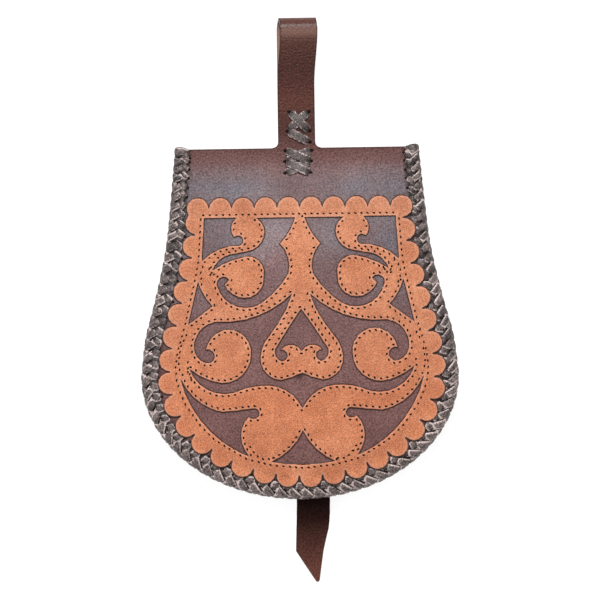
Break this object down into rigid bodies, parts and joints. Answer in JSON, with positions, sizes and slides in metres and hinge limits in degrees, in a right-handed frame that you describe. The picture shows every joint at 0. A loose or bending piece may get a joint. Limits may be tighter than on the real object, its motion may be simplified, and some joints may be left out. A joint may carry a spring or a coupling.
{
  "type": "belt bag",
  "caption": "Belt bag of dark leather: lyre-shaped flap with a pierced suede appliqué of scrolls and a heart, plaited lace edges, a belt loop above and the tail of a closing strap below.",
  "frame": {"origin": "on the surface the bag lies on, under the middle of its length and width", "axes": "+X to the right of the flap, +Y towards the belt loop, +Z out of the flap's face"},
  "size_m": [0.175, 0.3114, 0.0272],
  "materials": {
    "brown_leather": "satin",
    "orange_suede": "matte",
    "grey_lace": "satin"
  },
  "bodies": {
    "root": {"flap_and_loop": "brown_leather", "flap_braid": "grey_lace", "suede_applique": "orange_suede", "loop_lacing": "grey_lace", "closing_strap": "brown_leather", "back_panel": "brown_leather", "pocket": "brown_leather", "body_braid": "grey_lace", "strap_keeper": "brown_leather"}
  },
  "joints": []
}
